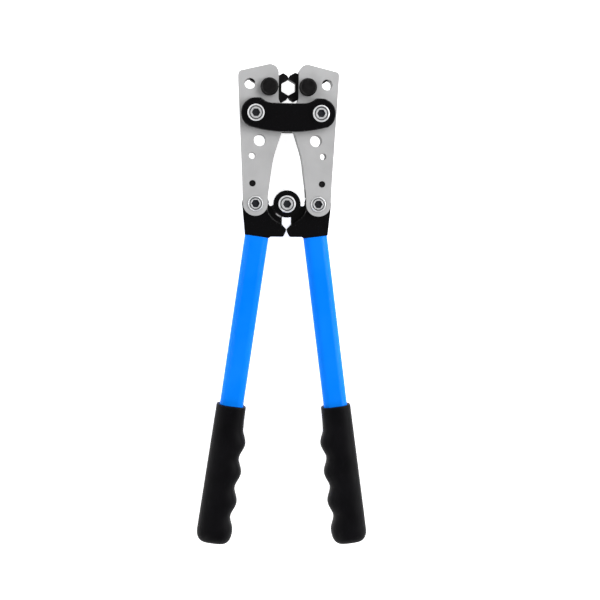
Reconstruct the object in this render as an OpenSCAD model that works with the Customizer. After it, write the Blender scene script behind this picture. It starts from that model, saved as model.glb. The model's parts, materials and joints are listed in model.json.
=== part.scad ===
// Compound-lever crimping tool for tubular cable lugs, closed, lying on its back.
// X runs across the tool, Y runs from the grips to the jaws and Z runs up, out of the front face.
// The origin is under the middle of the tool, on the surface that it lies on.

/* [Linkage] */
// Distance from the centre line to each link pivot
link_half = 26; // [25.8:0.1:26.4]
// Distance from the centre line to each tail pivot
tail_half = 25.3; // [25:0.1:25.6]
// Height of the link pivots above the tail pivots
link_rise = 72.3; // [71:0.1:74]
// Radius of the link bolts
link_bolt_r = 5; // [4:0.25:5]
// Radius of the tail bolts
tail_bolt_r = 4.5; // [3.5:0.25:5]
// Radius of the centre bolt
centre_bolt_r = 4; // [3:0.25:4]
// Radial clearance of a running fit
run_fit = 0.05; // [0.03:0.01:0.08]

/* [Dies] */
// Distance from the centre line to each turret axis
die_half = 15.4; // [15.2:0.1:15.8]
// Height of the turret axes above the tail pivots
die_rise = 93.2; // [92:0.1:94]
// Radius that the turrets are turned to
turret_r = 17.1; // [16.6:0.1:17.3]
// Width across the flats of the largest crimp
crimp_af = 11.1; // [9.8:0.1:11.4]
// Gap between the two closed turrets
die_gap = 0.15; // [0.1:0.05:0.3]

/* [Jaws] */
// Thickness of a jaw plate
plate_t = 4.5; // [4:0.25:5.5]
// Gap between the two plates of a jaw
core_t = 12; // [11:0.5:14]
// Thickness of a link plate
link_t = 4.5; // [4:0.25:5.5]
// Radius of the round end of a jaw
tail_r = 9.8; // [9.5:0.1:9.8]
// Radius of the hanging hole in each jaw
hang_hole_r = 4.7; // [4:0.1:5]

/* [Handles] */
// Radius of the hub around the centre bolt
hub_r = 11; // [10.4:0.1:11]
// Angle of each handle to the centre line
tube_tilt = 7.8; // [7.5:0.1:8.3]
// Width of a handle tube
tube_w = 19.4; // [18:0.1:19.6]
// Depth of a handle tube
tube_d = 14; // [13:0.5:15]
// Wall thickness of a handle tube
tube_wall = 2; // [1.5:0.25:2.5]
// Length of a handle tube
tube_len = 243; // [239:1:249]
// Distance along the tube from its top to the mouth of the grip
grip_start = 140.4; // [136:0.2:142]
// Length of a grip
grip_len = 116.6; // [115.4:0.2:118]
// Depth of a grip
grip_d = 25; // [22:0.5:27]

/* [Hidden] */
$fn = 96;
arc_steps = 10;
slip = 0.2;
press_fit = 0.02;
over = 1;

// Levels above the middle plane of the tool
core_z = core_t / 2;
inner_z = core_z - slip;
jaw_z = core_z + plate_t;
link_in_z = jaw_z + slip;
link_z = link_in_z + link_t;
tongue_z = 2.8;
slot_z = tongue_z + slip;
hub_z = 10;

// Crimp sizes around a turret, as shares of the largest one
crimp_shares = [1, 0.62, 0.5, 0.865, 0.74, 0.415];
crimps = len(crimp_shares);
flat_r = die_half - die_gap / 2;
pocket_r = turret_r + 0.8;
dimple_r = 11;
dimple_ball_r = 1.8;
ball_r = 1.5;
detent_angle = 60;

// Jaw outline
jaw_in = 8;
jaw_out = 40.5;
jaw_top_in = 113;
jaw_top_out = 105.2;
toe_r = link_half - 0.1;
window_at = [30.9, 95.5];
window_r = 4.25;
hang_at = [22.6, 50.7];
small_hole_at = [28.6, 38.3];
small_hole_r = 2.5;
rivet_at = [28, 16.2];
rivet_r = 2.55;

// Fasteners
link_head_r = 6.7;
link_head_h = 3.2;
tail_head_r = 6.2;
tail_sink = 1.2;
tail_head_h = 2.2;
centre_head_r = 6.9;
centre_head_h = 2.8;
socket_r = 3.4;
socket_depth = 1.8;
nut_h = 3.5;
thread_in = 2.6;
link_bush_r = link_bolt_r + 1;
tail_bush_r = tail_bolt_r + 1.5;
knob_r = 7.15;
knob_h = 4.4;
spindle_r = 4;
clip_r = 6;
clip_t = 1.2;
clip_play = 0.1;
groove_deep = 0.8;

// The tongue's eye lets the opened pivot drift while the coupled joints move
eye_drift = 4.5;
eye_r = centre_bolt_r + eye_drift;
recess_r = hub_r + 6.4;
recess_deep = 1;
hub_flare = 1.9;
fork_r = hub_r + 4.6;

// Head outline
lobe_r = 10.8;
notch_r = 1.95;
head_top = 0.1;
head_bottom = -26.7;
tube_at = [23.8, -26.4];
tang_len = 28;
tube_corner = 6;

// Grip outline, along the tube from the mouth
grip_out = 12.35;
grip_flare = 1.05;
grip_in = 12.1;
wave_mid = 14.35;
wave = 1.6;
wave_start = 18.3;
wave_pitch = 24.7;
fingers = 4;
grip_round = 11;
grip_corner = 10;

// The lowest and highest points along Y are a grip's end and a jaw's top
y_low = tube_at[1] - (grip_start + grip_len) * cos(tube_tilt) - 0.65;
y_high = 111.05;
place_y = -(y_low + y_high) / 2;
place_z = link_z + nut_h;

LEFT = -1;
RIGHT = 1;

// Outline helpers: a point [x, y, r] is a corner rounded to radius r
function unit(v) = v / norm(v);
function short_way(a) = a > 180 ? a - 360 : a < -180 ? a + 360 : a;
function flat(p) = [p[0], p[1]];
function arc(centre, r, from, turn) = [
    for (i = [0 : arc_steps])
        centre + r * [cos(from + turn * i / arc_steps), sin(from + turn * i / arc_steps)]
];
function corner(a, b, c, r) =
    let (
        u = unit(a - b),
        w = unit(c - b),
        half = acos(u * w) / 2,
        centre = b + unit(u + w) * r / sin(half),
        start = b + u * r / tan(half) - centre,
        end = b + w * r / tan(half) - centre,
        from = atan2(start[1], start[0])
    )
    arc(centre, r, from, short_way(atan2(end[1], end[0]) - from));
function rounded(p) = [
    for (i = [0 : len(p) - 1])
        let (
            a = flat(p[(i + len(p) - 1) % len(p)]),
            b = flat(p[i]),
            c = flat(p[(i + 1) % len(p)])
        )
        each p[i][2] > 0 ? corner(a, b, c, p[i][2]) : [b]
];

// Puts children on one side: right-hand shapes are mirrored for the left
module side(s) {
    translate([0, place_y, place_z])
        mirror([s < 0 ? 1 : 0, 0, 0])
            children();
}

module slab(z_low, z_high) {
    translate([0, 0, z_low])
        linear_extrude(z_high - z_low)
            children();
}

module rod(at, r, z_low, z_high) {
    translate([at[0], at[1], z_low])
        cylinder(r = r, h = z_high - z_low);
}

module ring(at, r_out, r_in, z_low, z_high) {
    difference() {
        rod(at, r_out, z_low, z_high);
        rod(at, r_in, z_low - over, z_high + over);
    }
}

// Link plates
module link_outline() {
    shoulder_r = 14;
    shoulder_y = 7.9;
    lobe = 12.1;
    belly_r = 118;
    belly_y = -15;
    shoulder_x = link_half - sqrt((lobe + shoulder_r) ^ 2 - (shoulder_y + shoulder_r) ^ 2);
    intersection() {
        union() {
            for (s = [LEFT, RIGHT])
                translate([s * link_half, 0])
                    circle(r = lobe);
            difference() {
                translate([-link_half, -lobe - 4])
                    square([2 * link_half, 2 * lobe + 4]);
                for (s = [LEFT, RIGHT])
                    translate([s * shoulder_x, shoulder_y + shoulder_r])
                        circle(r = shoulder_r);
                translate([-shoulder_x, shoulder_y])
                    square([2 * shoulder_x, lobe]);
            }
        }
        translate([0, belly_y + belly_r])
            circle(r = belly_r, $fn = 360);
    }
}

module link_plate(z_low) {
    z_high = z_low + link_t;
    color([0.03, 0.03, 0.03])
        side(RIGHT)
            difference() {
                translate([0, link_rise, 0])
                    slab(z_low, z_high)
                        link_outline();
                for (s = [LEFT, RIGHT])
                    rod([s * link_half, link_rise], link_bolt_r + run_fit, z_low - over, z_high + over);
            }
}

// A round bolt head with a ring groove and a hex socket, standing on z = 0
module bolt_head(r, h) {
    groove_in = 0.68 * r;
    groove_out = 0.8 * r;
    groove = 0.5;
    edge = 0.5;
    difference() {
        rotate_extrude()
            polygon([
                [0, 0], [r, 0], [r, h - edge], [r - edge, h], [groove_out, h],
                [groove_out, h - groove], [groove_in, h - groove], [groove_in, h], [0, h]
            ]);
        translate([0, 0, h - socket_depth])
            cylinder(r = socket_r, h = socket_depth + over, $fn = 6);
    }
}

module bolt(at, shank_r, head_r, head_h, z_end, z_head) {
    color([0.75, 0.76, 0.77]) {
        translate([at[0], at[1], z_head])
            bolt_head(head_r, head_h);
        rod(at, shank_r, z_end, z_head + 0.01);
    }
}

// A closed hexagon nut whose flat outer face looks back
module cap_nut(at, across_corners, bore_r, z_seat) {
    color([0.7, 0.71, 0.72])
        difference() {
            translate([at[0], at[1], z_seat - nut_h])
                cylinder(r = across_corners / 2, h = nut_h, $fn = 6);
            rod(at, bore_r, z_seat - thread_in, z_seat + over);
        }
}

module link_bolt(s) {
    z_end = -link_z - thread_in + slip;
    side(s)
        bolt([link_half, link_rise], link_bolt_r, link_head_r, link_head_h, z_end, link_z);
}

module link_nut(s) {
    side(s)
        cap_nut([link_half, link_rise], 16, link_bolt_r + press_fit, -link_z);
}

module link_bush(s) {
    color([0.72, 0.55, 0.3])
        side(s)
            ring([link_half, link_rise], link_bush_r, link_bolt_r + run_fit, -jaw_z, jaw_z);
}

// Jaws: two plates on a core
module jaw_outline() {
    toe_low = 36;
    toe_high = 10;
    toe = arc([link_half, link_rise], toe_r, 180 - toe_high, toe_high + toe_low);
    polygon(concat(
        rounded([
            [toe[0][0], toe[0][1], 0],
            [jaw_in, 81.6, 6],
            [jaw_in, jaw_top_in, 7],
            [jaw_out, jaw_top_out, 3.2],
            [36.1, 20, 60],
            [tail_half + tail_r, -tail_r, tail_r - 0.01],
            [tail_half - tail_r, -tail_r, tail_r - 0.01],
            [tail_half - tail_r, 6, 60],
            [11.6, 36.5, 80],
            [toe[arc_steps][0], toe[arc_steps][1], 0]
        ]),
        [for (i = [arc_steps - 1 : -1 : 1]) toe[i]]
    ));
}

module jaw_holes(z_low, z_high) {
    rod([link_half, link_rise], link_bush_r + press_fit, z_low, z_high);
    rod(window_at, window_r, z_low, z_high);
    rod(hang_at, hang_hole_r, z_low, z_high);
    rod(small_hole_at, small_hole_r, z_low, z_high);
    rod(rivet_at, rivet_r + press_fit, z_low, z_high);
}

module jaw_plate(s, z_low) {
    front = z_low > 0;
    z_high = z_low + plate_t;
    z_sink = front ? z_high - tail_sink : z_low - over;
    at = [tail_half, 0];
    color([0.7, 0.7, 0.71])
        side(s)
            difference() {
                slab(z_low, z_high)
                    jaw_outline();
                jaw_holes(z_low - over, z_high + over);
                rod([die_half, die_rise], spindle_r + run_fit, z_low - over, z_high + over);
                rod(at, tail_bolt_r + press_fit, z_low - over, z_high + over);
                if (front)
                    rod(at, tail_head_r + slip, z_sink, z_high + over);
                if (!front)
                    rod(detent_at(), detent_r + press_fit, z_low - over, z_high + over);
            }
}

module jaw_core(s) {
    cut_y = 11.4;
    color([0.6, 0.6, 0.61])
        side(s)
            difference() {
                slab(-core_z, core_z)
                    difference() {
                        jaw_outline();
                        translate([0, cut_y - 40])
                            square([60, 40]);
                        translate([die_half, die_rise])
                            circle(r = pocket_r);
                        translate([0, die_rise])
                            square([die_half, 40]);
                    }
                jaw_holes(-core_z - over, core_z + over);
            }
}

module jaw_rivet(s) {
    color([0.08, 0.08, 0.09])
        side(s)
            difference() {
                rod(rivet_at, rivet_r, -jaw_z, jaw_z + 0.2);
                rod(rivet_at, 0.5, jaw_z - 0.4, jaw_z + over);
            }
}

// Dies
module turret_outline() {
    intersection() {
        circle(r = turret_r);
        difference() {
            circle(r = flat_r / cos(30), $fn = 6);
            for (i = [0 : crimps - 1])
                rotate(30 + i * 60)
                    translate([flat_r + die_gap / 2, 0])
                        rotate(30)
                            circle(r = crimp_shares[i] * crimp_af / 2 / cos(30), $fn = 6);
        }
    }
}

// Both turrets are the same piece, and the right one is turned half round
module at_turret(s) {
    translate([s * die_half, place_y + die_rise, place_z])
        rotate(s < 0 ? 0 : 180)
            children();
}

module die_turret(s) {
    color([0.2, 0.2, 0.2])
        at_turret(s)
            difference() {
                slab(-inner_z, inner_z)
                    rotate(-30)
                        turret_outline();
                rod([0, 0], spindle_r + press_fit, -core_z, core_z);
                for (i = [0 : crimps - 1])
                    rotate(i * 60 + detent_angle)
                        translate([dimple_r, 0, -inner_z - 1.2])
                            sphere(r = dimple_ball_r);
            }
}

module die_spindle(s) {
    groove_z = -jaw_z - slip - clip_t;
    color([0.5, 0.5, 0.52])
        at_turret(s)
            difference() {
                rod([0, 0], spindle_r, groove_z - 1, jaw_z + knob_h - 1);
                ring([0, 0], spindle_r + over, spindle_r - groove_deep, groove_z, groove_z + clip_t);
            }
}

module die_knob(s) {
    edge = 1;
    dish = 0.3;
    low = jaw_z + slip;
    high = jaw_z + knob_h;
    color([0.08, 0.08, 0.08])
        at_turret(s)
            difference() {
                rotate_extrude()
                    polygon([
                        [0, low], [knob_r, low], [knob_r, high - edge], [knob_r - edge, high],
                        [knob_r - 1.4 * edge, high], [knob_r - 1.6 * edge, high - dish], [0, high - dish]
                    ]);
                rod([0, 0], spindle_r + press_fit, low - over, jaw_z + knob_h - 1 + press_fit);
            }
}

module spindle_clip(s) {
    opening = 2;
    z_high = -jaw_z - slip;
    color([0.25, 0.25, 0.27])
        at_turret(s)
            difference() {
                ring(
                    [0, 0], clip_r, spindle_r - groove_deep + press_fit,
                    z_high - clip_t + clip_play, z_high - clip_play
                );
                translate([-opening / 2, 0, -jaw_z - over - clip_t])
                    cube([opening, clip_r + over, clip_t + 2 * over]);
            }
}

// A spring plunger in the back plate rests its ball on the back of the turret
detent_r = 2.5;
detent_wall = 0.8;
detent_low = -jaw_z - 1.4;
function detent_at() = [die_half + dimple_r * cos(detent_angle), die_rise + dimple_r * sin(detent_angle)];

module detent_body(s) {
    well = detent_r - detent_wall;
    color([0.75, 0.76, 0.77])
        side(s)
            difference() {
                rod(detent_at(), detent_r, detent_low, -core_z);
                rod(detent_at(), well, detent_low + detent_wall, -core_z + over);
                translate([detent_at()[0] - detent_r, detent_at()[1] - 0.4, detent_low - over])
                    cube([2 * detent_r, 0.8, over + 0.4]);
            }
}

module detent_ball(s) {
    color([0.8, 0.8, 0.82])
        side(s)
            translate([detent_at()[0], detent_at()[1], -inner_z - ball_r - 0.05])
                sphere(r = ball_r);
}

module detent_spring(s) {
    turns = 4;
    wire_r = 0.2;
    coil_r = 1.1;
    low = detent_low + detent_wall + wire_r;
    high = -inner_z - ball_r - 0.05 - sqrt(ball_r ^ 2 - coil_r ^ 2) - 0.3;
    color([0.6, 0.6, 0.62])
        side(s)
            for (i = [0 : turns - 1])
                translate([detent_at()[0], detent_at()[1], low + (high - low) * i / (turns - 1)])
                    rotate_extrude()
                        translate([coil_r, 0])
                            circle(r = wire_r, $fn = 24);
}

// Tail pivots
module tail_bolt(s) {
    z_end = -jaw_z - thread_in + slip;
    side(s)
        bolt([tail_half, 0], tail_bolt_r, tail_head_r, tail_head_h, z_end, jaw_z - tail_sink);
}

module tail_nut(s) {
    side(s)
        cap_nut([tail_half, 0], 14, tail_bolt_r + press_fit, -jaw_z);
}

module tail_bush(s) {
    color([0.72, 0.55, 0.3])
        side(s)
            ring([tail_half, 0], tail_bush_r, tail_bolt_r + run_fit, -inner_z, inner_z);
}

// Handle heads: the left one is a fork and the right one is a tongue between its cheeks
module head_outline() {
    tube_top = tube_w / 2 + 0.2;
    across = [cos(tube_tilt), sin(tube_tilt)];
    heel = tube_at - tube_top * across;
    heel_out = tube_at + tube_top * across;
    difference() {
        union() {
            translate([tail_half, 0])
                circle(r = lobe_r);
            polygon(rounded([
                [3.7, head_top, 0],
                [3.7, -16.6, 1.5],
                [0.15, -20.4, 0.8],
                [0.5, -22.6, 1.5],
                [2.6, head_bottom, 1.6],
                [heel[0] - 1.2, head_bottom, 0.6],
                [heel[0], heel[1], 0],
                [heel_out[0], heel_out[1], 0],
                [tail_half + lobe_r, head_top, 0]
            ]));
        }
        translate([(hub_r + tail_half - lobe_r) / 2, head_top])
            circle(r = notch_r);
    }
}

module rounded_box(w, d, r) {
    square([w - 2 * r, d], center = true);
    square([w, d - 2 * r], center = true);
    for (x = [-1, 1], y = [-1, 1])
        translate([x * (w / 2 - r), y * (d / 2 - r)])
            circle(r = r);
}

// Local frame of a handle tube: -Y runs down the tube from its top, +X is outwards
module along_tube() {
    translate([tube_at[0], tube_at[1], 0])
        rotate(tube_tilt)
            children();
}

module tube_stick(w, d, r, from, to) {
    translate([0, -from, 0])
        rotate([90, 0, 0])
            linear_extrude(to - from)
                rounded_box(w, d, r);
}

module head_blank() {
    slab(-inner_z, inner_z)
        head_outline();
    along_tube()
        tube_stick(
            tube_w - 2 * tube_wall - 0.3, tube_d - 2 * tube_wall - 0.3,
            tube_corner - tube_wall - 0.15, -2, tang_len
        );
}

// A shallow dish round the hub, in both faces of a head
module dish() {
    floor_z = inner_z - recess_deep;
    for (way = [0, 1])
        mirror([0, 0, way])
            rotate_extrude()
                polygon([
                    [hub_r, core_z + over], [hub_r, inner_z], [hub_r + hub_flare, floor_z],
                    [fork_r, floor_z], [recess_r, inner_z], [recess_r, core_z + over]
                ]);
}

module fork_head() {
    difference() {
        union() {
            head_blank();
            rod([0, 0], hub_r, -hub_z, hub_z);
        }
        rod([0, 0], fork_r, -slot_z, slot_z);
        dish();
        rod([0, 0], centre_bolt_r + run_fit, -hub_z - over, hub_z + over);
        rod([tail_half, 0], tail_bush_r + press_fit, -core_z, core_z);
    }
}

module tongue_head() {
    difference() {
        union() {
            head_blank();
            rod([0, 0], hub_r, -tongue_z, tongue_z);
        }
        dish();
        rod([0, 0], fork_r, tongue_z, core_z);
        rod([0, 0], fork_r, -core_z, -tongue_z);
        rod([0, 0], eye_r, -core_z, core_z);
        rod([tail_half, 0], tail_bush_r + press_fit, -core_z, core_z);
    }
}

module handle_head(s) {
    color([0.03, 0.03, 0.03])
        side(s) {
            if (s == LEFT)
                fork_head();
            if (s == RIGHT)
                tongue_head();
        }
}

module handle_tube(s) {
    color([0, 0.5, 1])
        side(s)
            along_tube()
                difference() {
                    tube_stick(tube_w, tube_d, tube_corner, 0.05, tube_len);
                    tube_stick(
                        tube_w - 2 * tube_wall, tube_d - 2 * tube_wall, tube_corner - tube_wall,
                        -over, tube_len + over
                    );
                }
}

function wave_x(along) = -wave_mid + wave * cos(360 * (along - wave_start) / wave_pitch);

module grip_outline() {
    steps = 9;
    last = wave_start + (fingers - 0.5) * wave_pitch;
    polygon(concat(
        [for (i = [0 : steps * fingers - steps / 2])
            let (along = wave_start + i * wave_pitch / steps)
            [wave_x(along), -along]],
        rounded([
            [wave_x(last), -last, 0],
            [-wave_mid - 0.6, -grip_len, grip_round],
            [grip_out + grip_flare, -grip_len, grip_round],
            [grip_out, 0, 1.5],
            [-grip_in, 0, 1.5]
        ])
    ));
}

module grip(s) {
    deepest = wave_mid + wave + grip_out + grip_flare;
    middle = (grip_out + grip_flare - wave_mid - wave) / 2;
    grip_end = grip_start + grip_len;
    color([0.06, 0.06, 0.06])
        side(s)
            along_tube()
                difference() {
                    intersection() {
                        translate([0, -grip_start, 0])
                            slab(-grip_d / 2, grip_d / 2)
                                grip_outline();
                        translate([middle, 0, 0])
                            tube_stick(deepest, grip_d, grip_corner, grip_start - over, grip_end + over);
                    }
                    tube_stick(
                        tube_w + 0.1, tube_d + 0.1, tube_corner,
                        grip_start - over, tube_len + 0.3
                    );
                }
}

module centre_bolt() {
    side(RIGHT)
        bolt([0, 0], centre_bolt_r, centre_head_r, centre_head_h, -hub_z - thread_in + slip, hub_z);
}

module centre_nut() {
    side(RIGHT)
        cap_nut([0, 0], 14, centre_bolt_r + press_fit, -hub_z);
}

link_plate(link_in_z);  // link_front_plate
link_plate(-link_z);  // link_back_plate
link_bolt(LEFT);  // left_link_bolt
link_bolt(RIGHT);  // right_link_bolt
link_nut(LEFT);  // left_link_nut
link_nut(RIGHT);  // right_link_nut
link_bush(LEFT);  // left_link_bush
link_bush(RIGHT);  // right_link_bush
jaw_plate(LEFT, core_z);  // left_jaw_front_plate
jaw_plate(RIGHT, core_z);  // right_jaw_front_plate
jaw_plate(LEFT, -jaw_z);  // left_jaw_back_plate
jaw_plate(RIGHT, -jaw_z);  // right_jaw_back_plate
jaw_core(LEFT);  // left_jaw_core
jaw_core(RIGHT);  // right_jaw_core
jaw_rivet(LEFT);  // left_jaw_rivet
jaw_rivet(RIGHT);  // right_jaw_rivet
die_turret(LEFT);  // left_die_turret
die_turret(RIGHT);  // right_die_turret
die_spindle(LEFT);  // left_die_spindle
die_spindle(RIGHT);  // right_die_spindle
die_knob(LEFT);  // left_die_knob
die_knob(RIGHT);  // right_die_knob
spindle_clip(LEFT);  // left_spindle_clip
spindle_clip(RIGHT);  // right_spindle_clip
detent_body(LEFT);  // left_detent_body
detent_body(RIGHT);  // right_detent_body
detent_ball(LEFT);  // left_detent_ball
detent_ball(RIGHT);  // right_detent_ball
detent_spring(LEFT);  // left_detent_spring
detent_spring(RIGHT);  // right_detent_spring
tail_bolt(LEFT);  // left_tail_bolt
tail_bolt(RIGHT);  // right_tail_bolt
tail_nut(LEFT);  // left_tail_nut
tail_nut(RIGHT);  // right_tail_nut
tail_bush(LEFT);  // left_tail_bush
tail_bush(RIGHT);  // right_tail_bush
handle_head(LEFT);  // left_handle_head
handle_head(RIGHT);  // right_handle_head
handle_tube(LEFT);  // left_handle_tube
handle_tube(RIGHT);  // right_handle_tube
grip(LEFT);  // left_grip
grip(RIGHT);  // right_grip
centre_bolt();
centre_nut();
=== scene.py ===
import json
import math

import bmesh
import bpy
from mathutils import Euler, Matrix, Vector


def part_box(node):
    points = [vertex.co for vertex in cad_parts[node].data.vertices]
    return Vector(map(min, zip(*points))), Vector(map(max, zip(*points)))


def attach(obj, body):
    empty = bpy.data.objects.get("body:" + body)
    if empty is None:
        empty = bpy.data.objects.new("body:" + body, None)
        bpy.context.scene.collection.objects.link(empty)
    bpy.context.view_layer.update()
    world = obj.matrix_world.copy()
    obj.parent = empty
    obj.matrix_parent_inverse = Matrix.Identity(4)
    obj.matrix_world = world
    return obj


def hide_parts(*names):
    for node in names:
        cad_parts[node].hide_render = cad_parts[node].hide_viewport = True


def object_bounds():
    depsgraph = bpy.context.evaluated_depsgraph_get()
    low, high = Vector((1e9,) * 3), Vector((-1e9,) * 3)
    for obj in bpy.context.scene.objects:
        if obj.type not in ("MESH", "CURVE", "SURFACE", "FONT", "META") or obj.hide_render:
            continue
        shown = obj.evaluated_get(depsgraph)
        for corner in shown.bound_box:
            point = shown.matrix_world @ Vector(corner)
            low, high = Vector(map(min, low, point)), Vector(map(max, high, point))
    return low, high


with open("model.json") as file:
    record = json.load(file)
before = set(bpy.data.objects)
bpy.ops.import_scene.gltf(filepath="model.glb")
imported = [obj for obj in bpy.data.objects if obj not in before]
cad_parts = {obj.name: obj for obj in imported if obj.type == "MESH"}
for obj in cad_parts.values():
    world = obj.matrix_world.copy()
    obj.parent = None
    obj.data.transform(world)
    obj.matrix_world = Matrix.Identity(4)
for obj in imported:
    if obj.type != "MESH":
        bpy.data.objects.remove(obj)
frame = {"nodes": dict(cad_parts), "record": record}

cad_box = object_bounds()

MM = 0.001
SIDES = {"left": -1, "right": 1}
record = frame["record"]
NODE_BODY = {node: body for body, nodes in record["behaviour"]["bodies"].items() for node in nodes}
NODE_SLOT = {row["node"]: row["material_slot"] for row in record["subparts"]}
JOINT_AT = {joint["name"]: Vector(joint["pos_m"]) for joint in record["behaviour"]["joints"]}


# ---------------------------------------------------------------- places taken from the frame

tail_at = JOINT_AT["right_handle_pivot"]
hub_at = Vector((0, tail_at.y, tail_at.z))


# ---------------------------------------------------------------- material helpers

class Material:
    """A node material under construction: short names for the nodes that this scene uses."""

    def __init__(self, name, colour, rough, metallic=0.0, coat=0.0, coat_rough=0.05, specular=0.5):
        self.material = bpy.data.materials.new(name)
        self.material.use_nodes = True
        self.tree = self.material.node_tree
        self.shader = self.tree.nodes["Principled BSDF"]
        self.set("Base Color", (*colour, 1))
        self.set("Roughness", rough)
        self.set("Metallic", metallic)
        self.set("Coat Weight", coat)
        self.set("Coat Roughness", coat_rough)
        self.set("Specular IOR Level", specular)
        self.bump_out = None

    def set(self, socket, value):
        self.shader.inputs[socket].default_value = value

    def node(self, kind, **values):
        made = self.tree.nodes.new(kind)
        for key, value in values.items():
            setattr(made, key, value)
        return made

    def link(self, a, b):
        self.tree.links.new(a, b)

    def place(self, scale=(1, 1, 1), offset=(0, 0, 0), turn=0.0):
        """Object coordinates in metres, moved, turned about Z and then scaled."""
        coords = self.node("ShaderNodeTexCoord")
        moved = self.node("ShaderNodeVectorMath", operation="SUBTRACT")
        self.link(coords.outputs["Object"], moved.inputs[0])
        moved.inputs[1].default_value = offset
        mapping = self.node("ShaderNodeMapping")
        mapping.inputs["Rotation"].default_value = (0, 0, turn)
        mapping.inputs["Scale"].default_value = scale
        self.link(moved.outputs[0], mapping.inputs["Vector"])
        return mapping.outputs["Vector"]

    def noise(self, scale, detail=4.0, rough=0.55, where=None):
        made = self.node("ShaderNodeTexNoise")
        made.inputs["Scale"].default_value = scale
        made.inputs["Detail"].default_value = detail
        made.inputs["Roughness"].default_value = rough
        self.link(where or self.place(), made.inputs["Vector"])
        return made.outputs["Fac"]

    def ramp(self, value, stops):
        made = self.node("ShaderNodeValToRGB")
        while len(made.color_ramp.elements) < len(stops):
            made.color_ramp.elements.new(0.5)
        for element, (at, colour) in zip(made.color_ramp.elements, stops):
            element.position = at
            element.color = (*colour, 1)
        self.link(value, made.inputs["Fac"])
        return made.outputs["Color"]

    def range(self, value, low, high, from_low=0.0, from_high=1.0):
        made = self.node("ShaderNodeMapRange")
        made.inputs["From Min"].default_value = from_low
        made.inputs["From Max"].default_value = from_high
        made.inputs["To Min"].default_value = low
        made.inputs["To Max"].default_value = high
        self.link(value, made.inputs["Value"])
        return made.outputs["Result"]

    def mix(self, factor, a, b, blend="MIX"):
        made = self.node("ShaderNodeMix", data_type="RGBA", blend_type=blend)
        for socket, value in ((made.inputs[0], factor), (made.inputs[6], a), (made.inputs[7], b)):
            if isinstance(value, bpy.types.NodeSocket):
                self.link(value, socket)
            elif isinstance(value, tuple):
                socket.default_value = (*value, 1)
            else:
                socket.default_value = value
        return made.outputs[2]

    def side_wall(self):
        """1 on faces that stand on edge, 0 on faces that lie flat."""
        coords = self.node("ShaderNodeTexCoord")
        parts = self.node("ShaderNodeSeparateXYZ")
        self.link(coords.outputs["Normal"], parts.inputs[0])
        upright = self.node("ShaderNodeMath", operation="ABSOLUTE")
        self.link(parts.outputs["Z"], upright.inputs[0])
        return self.range(upright.outputs[0], 1.0, 0.0, 0.15, 0.5)

    def colour(self, output):
        self.link(output, self.shader.inputs["Base Color"])

    def roughness(self, output):
        self.link(output, self.shader.inputs["Roughness"])

    def bump(self, height, depth, strength=1.0):
        made = self.node("ShaderNodeBump")
        made.inputs["Strength"].default_value = strength
        made.inputs["Distance"].default_value = depth
        self.link(height, made.inputs["Height"])
        if self.bump_out:
            self.link(self.bump_out, made.inputs["Normal"])
        self.bump_out = made.outputs["Normal"]
        self.link(self.bump_out, self.shader.inputs["Normal"])


def scaled(colour, factor):
    return tuple(min(1.0, channel * factor) for channel in colour)


# ---------------------------------------------------------------- materials

def jaw_steel():
    """Bead-blasted, plated steel: satin grey, faintly clouded, with a fine grain and a few light rubs, and its side
    walls painted darker as painted shade.
    """
    base = (0.52, 0.52, 0.525)
    made = Material("jaw_steel", base, 0.5, metallic=0.3)
    cloud = made.noise(45, 5)
    tint = made.ramp(cloud, [(0.3, scaled(base, 0.93)), (0.7, scaled(base, 1.06))])
    rub = made.noise(1.0, 6, 0.7, made.place((900, 60, 900), turn=0.5))
    rub_mask = made.range(rub, 0.0, 0.35, 0.62, 0.72)
    faced = made.mix(rub_mask, tint, scaled(base, 1.2))
    # Faces that stand on edge get a darker colour: painted shade on the side walls.
    made.colour(made.mix(made.side_wall(), faced, made.mix(0.8, faced, scaled(base, 0.22))))
    grain = made.noise(2600, 3)
    made.roughness(made.range(cloud, 0.42, 0.55))
    made.bump(grain, 0.00005, 0.35)
    made.bump(cloud, 0.0002, 0.12)
    return made.material


def black_paint():
    """Gloss black paint on a forging: deep, slightly uneven under the gloss, with tiny specks of dust."""
    base = (0.0022, 0.002, 0.0025)
    made = Material("black_paint", base, 0.12, specular=0.65)
    uneven = made.noise(160, 3)
    speck = made.noise(3200, 2)
    made.colour(made.ramp(speck, [(0.6, base), (0.9, (0.012, 0.012, 0.013))]))
    made.roughness(made.range(made.noise(70, 4), 0.1, 0.17))
    made.bump(uneven, 0.0001, 0.06)
    made.bump(speck, 0.00002, 0.05)
    return made.material


def blue_paint():
    """Gloss azure enamel with a faint orange peel."""
    base = (0.0, 0.215, 0.98)
    made = Material("blue_paint", base, 0.3, coat=0.06, coat_rough=0.03, specular=0.04)
    cloud = made.noise(30, 4)
    made.colour(made.ramp(cloud, [(0.3, scaled(base, 0.95)), (0.7, (0.004, 0.225, 1.0))]))
    made.roughness(made.range(made.noise(220, 3), 0.3, 0.4))
    made.bump(made.noise(420, 2), 0.0001, 0.08)
    return made.material


def grip_vinyl():
    """Soft black vinyl with a fine leathery grain, a little shine where it has been handled."""
    base = (0.0028, 0.0026, 0.0033)
    made = Material("grip_vinyl", base, 0.5, specular=0.07)
    cloud = made.noise(38, 5)
    made.colour(made.ramp(cloud, [(0.3, scaled(base, 0.8)), (0.75, scaled(base, 1.7))]))
    cells = made.node("ShaderNodeTexVoronoi", feature="DISTANCE_TO_EDGE")
    cells.inputs["Scale"].default_value = 1500
    made.link(made.place(), cells.inputs["Vector"])
    made.roughness(made.range(cloud, 0.42, 0.58))
    made.bump(cells.outputs["Distance"], 0.00015, 0.14)
    made.bump(made.noise(2400, 4), 0.00005, 0.2)
    return made.material


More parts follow.
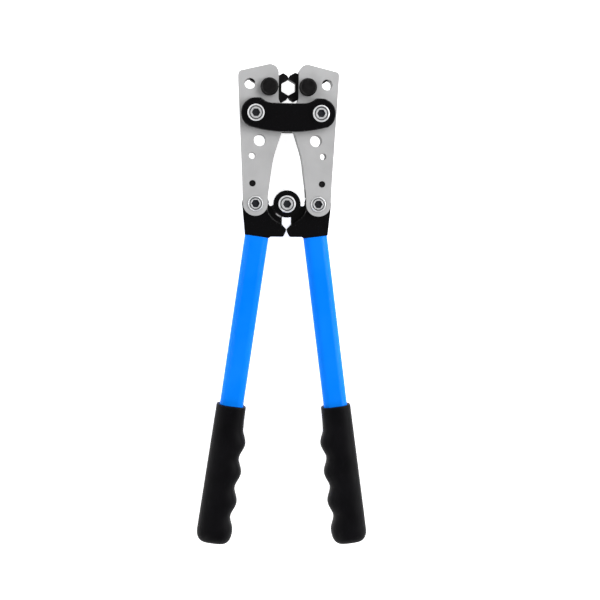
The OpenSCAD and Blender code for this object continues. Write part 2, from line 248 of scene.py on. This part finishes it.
def black_oxide():
    """Oiled black oxide on tool steel: charcoal, cut with a mill, with brighter patches that are partly wear and partly
    painted highlight.
    """
    base = (0.008, 0.0075, 0.0078)
    made = Material("black_oxide", base, 0.42, metallic=0.25, specular=0.16)
    patch = made.noise(240, 6, 0.65)
    # The brighter patches are partly wear and partly painted highlight for the blotchy shine on the faces.
    made.colour(made.ramp(patch, [(0.35, scaled(base, 0.7)), (0.62, scaled(base, 1.3)), (0.78, (0.075, 0.075, 0.077))]))
    made.roughness(made.range(patch, 0.34, 0.58))
    made.bump(made.noise(1800, 4), 0.00008, 0.4)
    made.bump(made.noise(1.0, 3, 0.5, made.place((2500, 160, 160))), 0.00005, 0.25)
    return made.material


def hard_steel():
    """Ground hardened steel."""
    base = (0.42, 0.42, 0.43)
    made = Material("hard_steel", base, 0.3, metallic=1.0)
    lines = made.noise(1.0, 4, 0.6, made.place((2600, 120, 120)))
    made.colour(made.ramp(lines, [(0.3, scaled(base, 0.85)), (0.7, scaled(base, 1.15))]))
    made.roughness(made.range(lines, 0.22, 0.4))
    made.bump(lines, 0.00004, 0.3)
    return made.material


def bronze():
    """Oiled sintered bronze."""
    base = (0.42, 0.24, 0.09)
    made = Material("bronze", base, 0.42, metallic=0.9)
    pores = made.noise(900, 5)
    made.colour(made.ramp(pores, [(0.3, scaled(base, 0.6)), (0.65, base)]))
    made.roughness(made.range(pores, 0.35, 0.55))
    made.bump(pores, 0.00008, 0.4)
    return made.material


def turned_zinc(name, centre):
    """Bright zinc with fine rings round one bolt's own axis, left by the lathe."""
    base = (0.84, 0.845, 0.855)
    made = Material(name, base, 0.28, metallic=0.55)
    rings = made.node("ShaderNodeTexWave", wave_type="RINGS", rings_direction="Z")
    rings.inputs["Scale"].default_value = 520
    rings.inputs["Distortion"].default_value = 0.6
    rings.inputs["Detail"].default_value = 2
    made.link(made.place(offset=(centre.x, centre.y, 0)), rings.inputs["Vector"])
    stain = made.noise(420, 4)
    made.colour(made.ramp(stain, [(0.3, scaled(base, 0.9)), (0.65, scaled(base, 1.05))]))
    made.roughness(made.range(rings.outputs["Fac"], 0.26, 0.38))
    made.bump(rings.outputs["Fac"], 0.00005, 0.3)
    made.bump(stain, 0.00003, 0.06)
    return made.material


def socket_painted_shade():
    """The shaded, oily inside of a hexagon socket."""
    base = (0.028, 0.03, 0.036)
    made = Material("socket_painted_shade", base, 0.5, metallic=0.5)
    grime = made.noise(900, 5)
    made.colour(made.ramp(grime, [(0.3, scaled(base, 0.6)), (0.7, scaled(base, 1.6))]))
    made.bump(grime, 0.0001, 0.4)
    return made.material


MATERIALS = {
    "jaw_steel": jaw_steel(),
    "black_paint": black_paint(),
    "blue_paint": blue_paint(),
    "grip_vinyl": grip_vinyl(),
    "black_oxide": black_oxide(),
    "hard_steel": hard_steel(),
    "bronze": bronze(),
}
SHADE_FOR_RECESSES = socket_painted_shade()


def material_of(node):
    """The finish of a node: each zinc piece gets rings round its own axis."""
    name = NODE_SLOT[node]
    if name != "zinc_plate":
        return MATERIALS[name]
    low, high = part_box(node)
    return turned_zinc(f"zinc_{node}", (low + high) / 2)


# ---------------------------------------------------------------- pieces that stand for plain CAD nodes

def finish_piece(piece, node):
    """Gives a piece its node's body, and hides the node."""
    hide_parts(node)
    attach(piece, NODE_BODY[node])
    return piece


def new_object(name, mesh):
    piece = bpy.data.objects.new(name, mesh)
    bpy.context.scene.collection.objects.link(piece)
    return piece


def apply_modifiers(piece):
    """Makes the modifiers' result the piece's own mesh."""
    bpy.context.view_layer.update()
    graph = bpy.context.evaluated_depsgraph_get()
    result = bpy.data.meshes.new_from_object(piece.evaluated_get(graph))
    piece.modifiers.clear()
    piece.data = result


# Edges whose faces meet at more than these angles are bevelled, and then kept sharp
BEVELLED = math.radians(32)
KEPT_SHARP = math.radians(38)
GRIP_SHARP = math.radians(60)
COPLANAR = math.radians(0.4)


def smooth_by_angle(mesh, limit):
    """Smooth shading, with an edge kept sharp where its faces meet at more than the limit."""
    work = bmesh.new()
    work.from_mesh(mesh)
    for face in work.faces:
        face.smooth = True
    for edge in work.edges:
        if len(edge.link_faces) == 2:
            edge.smooth = edge.calc_face_angle() < limit
    work.to_mesh(mesh)
    work.free()


def soften(node, width, segments=2):
    """A copy of a CAD node with its edges broken, as a tumbled or painted edge is."""
    source = frame["nodes"][node]
    mesh = source.data.copy()
    mesh.materials.clear()
    work = bmesh.new()
    work.from_mesh(mesh)
    bmesh.ops.remove_doubles(work, verts=work.verts, dist=1e-6)
    bmesh.ops.dissolve_limit(
        work, angle_limit=COPLANAR, use_dissolve_boundaries=False,
        verts=work.verts, edges=work.edges,
    )
    work.to_mesh(mesh)
    work.free()
    piece = new_object(f"{node}_finished", mesh)
    bevel = piece.modifiers.new("edges", "BEVEL")
    bevel.width = width
    bevel.segments = segments
    bevel.limit_method = "ANGLE"
    bevel.angle_limit = BEVELLED
    bevel.harden_normals = False
    bevel.use_clamp_overlap = True
    apply_modifiers(piece)
    smooth_by_angle(piece.data, KEPT_SHARP)
    weighted = piece.modifiers.new("flat_faces", "WEIGHTED_NORMAL")
    weighted.mode = "FACE_AREA"
    weighted.weight = 100
    weighted.keep_sharp = True
    apply_modifiers(piece)
    piece.data.materials.append(material_of(node))
    return finish_piece(piece, node)


def darken_recesses(piece, head_r):
    """The socket of a bolt and the floor of the groove round it get a dark finish: painted shade in these hollows, a
    little oily.
    """
    socket_r, socket_deep, shallow = 3.5 * MM, 2.5 * MM, 0.2 * MM
    groove_in, groove_out = 0.66 * head_r, 0.82 * head_r
    centre = sum((Vector(corner) for corner in piece.bound_box), Vector()) / 8
    top = max(corner[2] for corner in piece.bound_box)
    piece.data.materials.append(SHADE_FOR_RECESSES)
    for face in piece.data.polygons:
        radii = [math.hypot(*(piece.data.vertices[v].co - centre).xy) for v in face.vertices]
        sunk = top - socket_deep < face.center.z < top - shallow
        in_socket = max(radii) < socket_r
        in_groove = min(radii) > groove_in and max(radii) < groove_out
        # Faces in the socket and the groove take the dark material, which is painted shade.
        if sunk and (in_socket or in_groove):
            face.material_index = 1


# ---------------------------------------------------------------- grips

GRIP_RINGS = 150
GRIP_POINTS = 64
FINGERS = 4

# The CAD's handle, in mm and degrees: the top of the tube from the hub, its angle, and the grip along it
TUBE_TOP = Vector((23.8, -26.4, 0))
TUBE_TILT = 7.8
GRIP_START = 140.4
GRIP_LENGTH = 116.6
BORE_DEPTH = 102.9
WAVE_START, WAVE_PITCH, WAVE_MID, WAVE = 18.3, 24.7, 14.35, 1.7

# The grip's section, in mm from the tube's axis: the outer side flares, the inner one waves
OUTER_AT_MOUTH, OUTER_FLARE = 12.35, 1.0
INNER_AT_MOUTH, INNER_FLARE = 12.1, 0.55
INNER_LEAST = 12.65
DEPTH_AT_MOUTH, DEPTH_GAIN, DEPTH_RUN = 11.6, 0.9, 40
WAVE_EASE = 3
CAP_LENGTH = 11.5
CAP_EXPONENT = 2.5
CAP_LEAST_W, CAP_LEAST_D = 0.4, 0.28
CAP_RINGS = 14
SKIN_SQUARENESS = 2.7
BORE_HALF_W, BORE_HALF_D, BORE_SQUARENESS = 9.75, 7.05, 4.5
RIM = 1.1


def tube_frame(side):
    """Matrix from a handle tube's own axes (X outwards, Y back up the tube) to the row frame."""
    right = Matrix.Translation(hub_at + TUBE_TOP * MM) @ Matrix.Rotation(math.radians(TUBE_TILT), 4, "Z")
    mirror = Matrix.Scale(-1, 4, Vector((1, 0, 0))) if SIDES[side] < 0 else Matrix.Identity(4)
    return mirror @ right


def grip_section(along, length):
    """(inner x, outer x, half depth) of a grip, in mm, at a distance along it from its mouth."""
    outer = OUTER_AT_MOUTH + OUTER_FLARE * along / length
    depth = DEPTH_AT_MOUTH + DEPTH_GAIN * min(1.0, along / DEPTH_RUN)
    if along < WAVE_START:
        inner = INNER_AT_MOUTH + INNER_FLARE * (along / WAVE_START) ** 2
    else:
        turn = 2 * math.pi * (along - WAVE_START) / WAVE_PITCH
        ease = min(1.0, (along - WAVE_START) / WAVE_EASE)
        inner = WAVE_MID - WAVE * math.cos(turn)
        inner = INNER_LEAST + (inner - INNER_LEAST) * ease if inner < INNER_LEAST else inner
        last_bulge = WAVE_START + (FINGERS - 0.5) * WAVE_PITCH
        if along > last_bulge:
            inner = WAVE_MID + WAVE
    cap_start = length - CAP_LENGTH
    if along > cap_start:
        share = (along - cap_start) / (length - cap_start)
        shrink = max(0.0, 1 - share ** CAP_EXPONENT) ** (1 / CAP_EXPONENT)
        middle = (outer - inner) / 2
        half = (outer + inner) / 2 * (CAP_LEAST_W + (1 - CAP_LEAST_W) * shrink)
        outer, inner = middle + half, half - middle
        depth *= CAP_LEAST_D + (1 - CAP_LEAST_D) * shrink
    return inner, outer, depth


def superellipse_ring(along, middle, half_w, half_d, exponent):
    """A ring of points across the tube: the larger the exponent, the squarer its corners."""
    power = 2 / exponent
    points = []
    for i in range(GRIP_POINTS):
        turn = 2 * math.pi * i / GRIP_POINTS
        c, s = math.cos(turn), math.sin(turn)
        x = middle + half_w * math.copysign(abs(c) ** power, c)
        z = half_d * math.copysign(abs(s) ** power, s)
        points.append(Vector((x, -along, z)) * MM)
    return points


def grip_ring(along, length):
    inner, outer, depth = grip_section(along, length)
    return superellipse_ring(along, (outer - inner) / 2, (outer + inner) / 2, depth, SKIN_SQUARENESS)


def bore_ring(along):
    """A ring of the bore, which fits round the tube."""
    return superellipse_ring(along, 0, BORE_HALF_W, BORE_HALF_D, BORE_SQUARENESS)


def build_grip(side):
    """One moulded grip: a lofted skin with four finger swells, a rolled mouth and a round end."""
    length = GRIP_LENGTH
    rings = []
    for along in (BORE_DEPTH, 60, 12, 3):
        rings.append(bore_ring(along))
    rings.append(bore_ring(RIM * 0.6))
    for share in (0.15, 0.5, 0.85):
        turn = math.pi * share
        mouth = RIM * (1 - math.sin(turn))
        inner_ring, outer_ring = bore_ring(mouth), grip_ring(mouth, length)
        weight = 0.5 - 0.5 * math.cos(turn)
        rings.append([a.lerp(b, weight) for a, b in zip(inner_ring, outer_ring)])
    cap_start = length - CAP_LENGTH
    body = [RIM + (cap_start - RIM) * i / GRIP_RINGS for i in range(GRIP_RINGS + 1)]
    cap = [
        cap_start + (length - cap_start) * math.sin(math.pi / 2 * i / CAP_RINGS)
        for i in range(1, CAP_RINGS + 1)
    ]
    for along in body + cap:
        rings.append(grip_ring(along, length))
    work = bmesh.new()
    to_row = tube_frame(side) @ Matrix.Translation(Vector((0, -GRIP_START * MM, 0)))
    made = [[work.verts.new(to_row @ point) for point in ring] for ring in rings]
    for low, high in zip(made, made[1:]):
        for i in range(GRIP_POINTS):
            j = (i + 1) % GRIP_POINTS
            work.faces.new((low[i], low[j], high[j], high[i]))
    work.faces.new(list(reversed(made[0])))
    end_centre = work.verts.new(sum((v.co for v in made[-1]), Vector()) / GRIP_POINTS)
    for i in range(GRIP_POINTS):
        work.faces.new((made[-1][i], made[-1][(i + 1) % GRIP_POINTS], end_centre))
    bmesh.ops.recalc_face_normals(work, faces=work.faces)
    mesh = bpy.data.meshes.new(f"{side}_grip_skin")
    work.to_mesh(mesh)
    work.free()
    smooth_by_angle(mesh, GRIP_SHARP)
    piece = new_object(f"{side}_grip_skin", mesh)
    mesh.materials.append(MATERIALS["grip_vinyl"])
    return finish_piece(piece, f"{side}_grip")


# ---------------------------------------------------------------- the object

# Widths of the broken edges, in mm
EDGE_WIDTHS = {
    "jaw_front_plate": 0.7, "jaw_back_plate": 0.7, "jaw_core": 0.3, "die_turret": 0.25, "die_knob": 0.3,
    "handle_head": 0.9, "handle_tube": 0.25, "link_bolt": 0.25, "link_nut": 0.4, "tail_bolt": 0.22,
    "tail_nut": 0.4, "jaw_rivet": 0.3,
}


LINK_PLATE_EDGE = 1.3
CENTRE_BOLT_EDGE, CENTRE_NUT_EDGE = 0.25, 0.4
HEAD_RADII = {"link_bolt": 6.7 * MM, "tail_bolt": 6.2 * MM, "centre_bolt": 6.9 * MM}


def build_object():
    for side in SIDES:
        for part, width in EDGE_WIDTHS.items():
            piece = soften(f"{side}_{part}", width * MM)
            if part in HEAD_RADII:
                darken_recesses(piece, HEAD_RADII[part])
        build_grip(side)
    soften("link_front_plate", LINK_PLATE_EDGE * MM, 3)
    soften("link_back_plate", LINK_PLATE_EDGE * MM, 3)
    darken_recesses(soften("centre_bolt", CENTRE_BOLT_EDGE * MM), HEAD_RADII["centre_bolt"])
    soften("centre_nut", CENTRE_NUT_EDGE * MM)
    for node, source in frame["nodes"].items():
        finish = material_of(node)
        if not source.data.materials:
            source.data.materials.append(finish)
        for slot in source.material_slots:
            slot.material = finish


# ---------------------------------------------------------------- stage, light and camera

def build_floor():
    """A round pale floor that curves up into a low wall all round, well away from the tool."""
    around, cove_steps = 96, 8
    flat_radii = (0.6, 1.5, 3.0, 6.0)
    flat_end = flat_radii[-1]
    cove, wall_top = 1.0, 2.2
    profile = [(radius, 0) for radius in flat_radii]
    for i in range(1, cove_steps + 1):
        turn = math.pi / 2 * i / cove_steps
        profile.append((flat_end + cove * math.sin(turn), cove * (1 - math.cos(turn))))
    profile.append((flat_end + cove, wall_top))
    work = bmesh.new()
    middle = work.verts.new((0, 0, 0))
    rings = []
    for radius, height in profile:
        turns = [2 * math.pi * k / around for k in range(around)]
        rings.append([work.verts.new((radius * math.cos(t), radius * math.sin(t), height)) for t in turns])
    for k in range(around):
        work.faces.new((middle, rings[0][k], rings[0][(k + 1) % around]))
        for low, high in zip(rings, rings[1:]):
            work.faces.new((low[k], high[k], high[(k + 1) % around], low[(k + 1) % around]))
    for face in work.faces:
        face.smooth = True
    mesh = bpy.data.meshes.new("floor")
    work.to_mesh(mesh)
    work.free()
    floor = new_object("floor", mesh)
    made = Material("floor", (0.93, 0.93, 0.93), 0.9, specular=0.05)
    made.set("Emission Color", (1, 1, 1, 1))
    away = made.node("ShaderNodeVectorMath", operation="LENGTH")
    made.link(made.place(), away.inputs[0])
    made.link(made.range(away.outputs["Value"], 0.8, 0.97, 0.6, 4.0), made.shader.inputs["Emission Strength"])
    made.colour(made.ramp(made.noise(3, 2), [(0.3, (0.925, 0.925, 0.925)), (0.7, (0.935, 0.935, 0.935))]))
    mesh.materials.append(made.material)


def area_light(name, at, aim, size, power):
    data = bpy.data.lights.new(name, "AREA")
    data.shape = "RECTANGLE"
    data.size, data.size_y = size
    data.energy = power
    light = bpy.data.objects.new(name, data)
    light.location = at
    light.rotation_euler = (aim - at).to_track_quat("-Z", "Y").to_euler()
    bpy.context.scene.collection.objects.link(light)


# Softboxes and cards: place from the tool's middle in m, (width, height) in m, power in W.
# The cards light the rims of the dish round the hub and the broken edges of the link plate.
LIGHTS = {
    "left_softbox": ((-1.5, 0.3, 1.1), (0.9, 1.6), 8),
    "right_softbox": ((1.6, 0.1, 1.2), (0.7, 1.6), 20),
    "upper_right_card": ((1.3, 1.15, 1.1), (1.9, 0.75), 26),
    "upper_left_card": ((-1.3, 1.15, 1.1), (1.6, 0.8), 9),
    "low_left_card": ((-1.0, -1.5, 1.25), (0.7, 0.7), 11),
}
WORLD_STRENGTH = 0.06


def build_lights(centre):
    for name, (place, size, power) in LIGHTS.items():
        area_light(name, centre + Vector(place), centre, size, power)
    world = bpy.data.worlds.new("studio")
    world.use_nodes = True
    world.node_tree.nodes["Background"].inputs["Color"].default_value = (1, 1, 1, 1)
    world.node_tree.nodes["Background"].inputs["Strength"].default_value = WORLD_STRENGTH
    bpy.context.scene.world = world


def build_camera():
    """Above the tool, a little left of it and towards its jaws, as the photographer stood."""
    sensor_width = 36.0
    lens = 75.0
    tilt = Euler([math.radians(a) for a in (-5.262, -3.422, 0.873)], "XYZ")
    aim = hub_at + Vector((12.3, -78.5, 0)) * MM
    distance = 1025.1 * MM
    back = tilt.to_matrix() @ Vector((0, 0, 1))
    data = bpy.data.cameras.new("camera")
    data.lens = lens
    data.sensor_width = sensor_width
    camera = bpy.data.objects.new("camera", data)
    camera.location = aim + back * distance
    camera.rotation_euler = tilt
    bpy.context.scene.collection.objects.link(camera)
    bpy.context.scene.camera = camera


build_object()
build_floor()
build_lights((cad_box[0] + cad_box[1]) / 2)
build_camera()
bpy.context.scene.view_settings.view_transform = "Standard"
